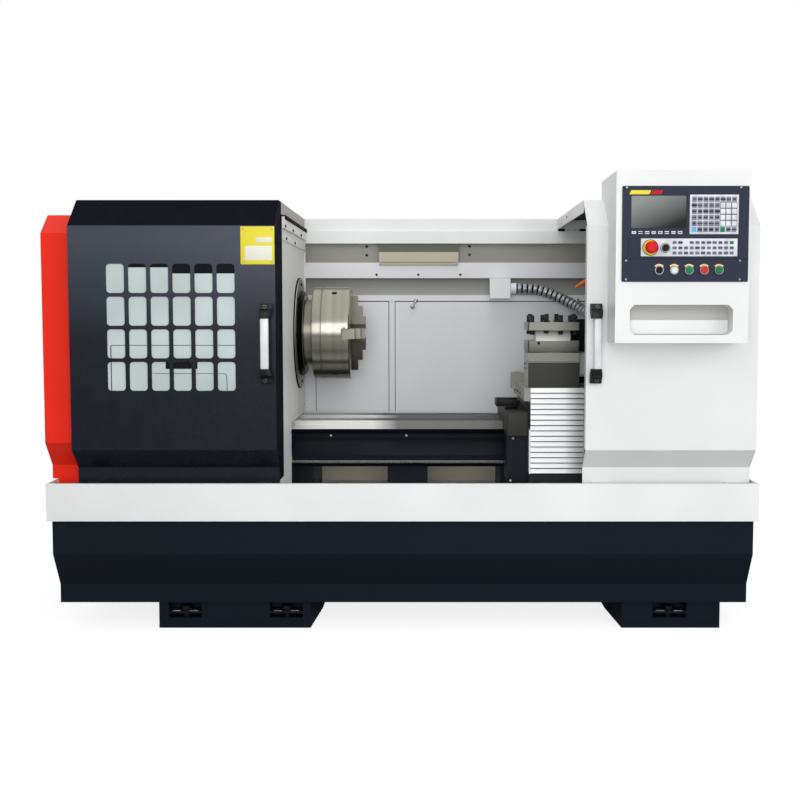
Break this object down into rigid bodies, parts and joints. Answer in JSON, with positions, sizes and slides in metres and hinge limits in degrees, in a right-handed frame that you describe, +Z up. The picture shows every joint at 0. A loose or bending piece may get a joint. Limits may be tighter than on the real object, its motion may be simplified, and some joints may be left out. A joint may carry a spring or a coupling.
{
  "type": "cnc turning lathe",
  "caption": "Flat-bed CNC turning lathe with sliding sheet-metal hoods, a three-jaw chuck, a square tool turret on a slatted carriage, a chip tray and a hood-mounted control box.",
  "frame": {"origin": "On the floor, under the centre of the machine's bounding box.", "axes": "+Z up; +X to the operator's right, along the bed and the spindle axis; -Y towards the operator, who stands in front of the hoods."},
  "size_m": [2.448, 1.388, 1.568],
  "materials": {
    "cabinet_navy": "semi-gloss paint",
    "pan_white": "semi-gloss paint",
    "shell_white": "semi-gloss paint",
    "hood_charcoal": "satin paint",
    "red_paint": "gloss paint",
    "wall_grey": "satin paint",
    "casting_grey": "painted casting",
    "bed_iron": "ground ways, painted sides",
    "cover_dark": "matte paint",
    "bearing_steel": "painted",
    "ground_steel": "ground and turned",
    "chuck_steel": "turned, lightly oiled",
    "jaw_steel": "hardened and ground",
    "bolt_black": "black oxide",
    "bolt_zinc": "zinc plated",
    "seal_black": "matte",
    "belt_rubber": "matte",
    "motor_grey": "satin paint",
    "lamp_beige": "satin, with a frosted window",
    "glass_pane": "clear, slightly green",
    "handle_black": "fine grain",
    "handle_white": "satin",
    "panel_slate": "satin",
    "screen_dark": "glossy display",
    "bezel_metal": "plated",
    "button_black": "smooth",
    "button_white": "smooth",
    "button_green": "smooth",
    "button_red": "smooth",
    "turret_grey": "satin paint",
    "turret_olive": "satin paint",
    "slide_grey": "painted casting",
    "apron_navy": "satin paint",
    "slat_metal": "anodised slats",
    "box_white": "satin",
    "box_black": "matte",
    "conduit_metal": "bright, ribbed",
    "pipe_orange": "smooth"
  },
  "bodies": {
    "machine_frame": {"pedestal_left": "cabinet_navy", "pedestal_right": "cabinet_navy", "levelling_bolts": "bolt_zinc", "base_cabinet": "cabinet_navy", "chip_tray": "pan_white", "bed_casting": "bed_iron", "screw_cover": "cover_dark", "screw_bearings": "bearing_steel", "headstock_casting": "casting_grey", "headstock_guard": "shell_white", "wall_flange": "ground_steel", "spindle_seal": "seal_black", "left_end_cover": "red_paint", "spindle_motor": "motor_grey", "drive_belt": "belt_rubber", "rear_beam": "wall_grey", "rear_panels": "wall_grey", "work_lamp": "lamp_beige", "rear_cabinet": "shell_white", "tailstock_guard": "shell_white"},
    "left_hood": {"left_door_shell": "hood_charcoal", "left_door_roof": "shell_white", "left_door_window": "glass_pane", "left_handle_ends": "handle_black", "left_handle_grip": "handle_white"},
    "right_hood": {"right_door_shell": "shell_white", "right_handle_ends": "handle_black", "right_handle_grip": "handle_white", "control_box": "shell_white", "control_panel": "panel_slate", "screen": "screen_dark", "button_bezels": "bezel_metal"},
    "stop_head": {"emergency_stop": "button_red"},
    "selector": {"selector_knob": "button_black"},
    "button_1": {"push_button_1": "button_black"},
    "button_2": {"push_button_2": "button_white"},
    "button_3": {"push_button_3": "button_green"},
    "button_4": {"push_button_4": "button_red"},
    "button_5": {"push_button_5": "button_green"},
    "spindle_unit": {"spindle": "ground_steel", "chuck_backplate": "chuck_steel", "chuck_body": "chuck_steel"},
    "jaw_1": {"chuck_jaw_1": "jaw_steel"},
    "jaw_2": {"chuck_jaw_2": "jaw_steel"},
    "jaw_3": {"chuck_jaw_3": "jaw_steel"},
    "carriage": {"saddle": "slide_grey", "apron": "apron_navy", "slat_cover": "slat_metal", "junction_box": "box_white"},
    "cross_slide_unit": {"cross_slide": "slide_grey", "turret_base": "turret_olive", "cable_box": "box_black", "conduit": "conduit_metal", "coolant_pipe": "pipe_orange"},
    "turret": {"turret_head": "turret_grey", "clamp_bolts": "bolt_black"},
    "screw": {"lead_screw": "ground_steel"},
    "tailstock": {"tailstock_body": "casting_grey"},
    "quill": {"tailstock_quill": "ground_steel"},
    "handwheel": {"tailstock_handwheel": "ground_steel"}
  },
  "joints": [
    {"name": "left_hood_slide", "type": "slide", "parent": "machine_frame", "child": "left_hood", "axis": [1, 0, 0], "range_m": [0, 0.7]},
    {"name": "right_hood_slide", "type": "slide", "parent": "machine_frame", "child": "right_hood", "axis": [1, 0, 0], "range_m": [-0.348, 0]},
    {"name": "spindle_spin", "type": "hinge", "parent": "machine_frame", "child": "spindle_unit", "pos_m": [-0.264, 0.235, 1.031], "axis": [1, 0, 0], "continuous": true},
    {"name": "jaw_1_slide", "type": "slide", "parent": "spindle_unit", "child": "jaw_1", "axis": [0, -1, 0], "range_m": [-0.012, 0.012]},
    {"name": "jaw_2_slide", "type": "slide", "parent": "spindle_unit", "child": "jaw_2", "axis": [0, 0.5, -0.866], "range_m": [-0.012, 0.012]},
    {"name": "jaw_3_slide", "type": "slide", "parent": "spindle_unit", "child": "jaw_3", "axis": [0, 0.5, 0.866], "range_m": [-0.012, 0.012]},
    {"name": "carriage_slide", "type": "slide", "parent": "machine_frame", "child": "carriage", "axis": [1, 0, 0], "range_m": [-0.5, 0]},
    {"name": "cross_slide_travel", "type": "slide", "parent": "carriage", "child": "cross_slide_unit", "axis": [0, 1, 0], "range_m": [0, 0.17], "deforming": ["conduit"]},
    {"name": "turret_turn", "type": "hinge", "parent": "cross_slide_unit", "child": "turret", "pos_m": [0.553, -0.096, 1], "axis": [0, 0, 1], "continuous": true},
    {"name": "lead_screw_spin", "type": "hinge", "parent": "machine_frame", "child": "screw", "pos_m": [0.3, -0.02, 0.556], "axis": [1, 0, 0], "range_deg": [-18000, 0]},
    {"name": "tailstock_slide", "type": "slide", "parent": "machine_frame", "child": "tailstock", "axis": [1, 0, 0], "range_m": [-0.09, 0]},
    {"name": "handwheel_turn", "type": "hinge", "parent": "tailstock", "child": "handwheel", "pos_m": [1.16, 0.235, 1.031], "axis": [1, 0, 0], "range_deg": [-3960, 0]},
    {"name": "quill_slide", "type": "slide", "parent": "tailstock", "child": "quill", "axis": [1, 0, 0], "range_m": [-0.055, 0]},
    {"name": "emergency_stop_push", "type": "slide", "parent": "right_hood", "child": "stop_head", "axis": [0, 1, 0], "range_m": [0, 0.006]},
    {"name": "selector_turn", "type": "hinge", "parent": "right_hood", "child": "selector", "pos_m": [0.861, -0.673, 1.321], "axis": [0, 1, 0], "range_deg": [-45, 45]},
    {"name": "push_button_1_press", "type": "slide", "parent": "right_hood", "child": "button_1", "axis": [0, 1, 0], "range_m": [0, 0.003], "stiffness_N_per_m": 400, "springref_m": -0.003},
    {"name": "push_button_2_press", "type": "slide", "parent": "right_hood", "child": "button_2", "axis": [0, 1, 0], "range_m": [0, 0.003], "stiffness_N_per_m": 400, "springref_m": -0.003},
    {"name": "push_button_3_press", "type": "slide", "parent": "right_hood", "child": "button_3", "axis": [0, 1, 0], "range_m": [0, 0.003], "stiffness_N_per_m": 400, "springref_m": -0.003},
    {"name": "push_button_4_press", "type": "slide", "parent": "right_hood", "child": "button_4", "axis": [0, 1, 0], "range_m": [0, 0.003], "stiffness_N_per_m": 400, "springref_m": -0.003},
    {"name": "push_button_5_press", "type": "slide", "parent": "right_hood", "child": "button_5", "axis": [0, 1, 0], "range_m": [0, 0.003], "stiffness_N_per_m": 400, "springref_m": -0.003}
  ],
  "couplings": [
    {"joint": "jaw_2_slide", "follows": "jaw_1_slide", "ratio": 1},
    {"joint": "jaw_3_slide", "follows": "jaw_1_slide", "ratio": 1},
    {"joint": "lead_screw_spin", "follows": "carriage_slide", "rad_per_m": 628.32},
    {"joint": "quill_slide", "follows": "handwheel_turn", "m_per_rad": 0.00079577}
  ]
}
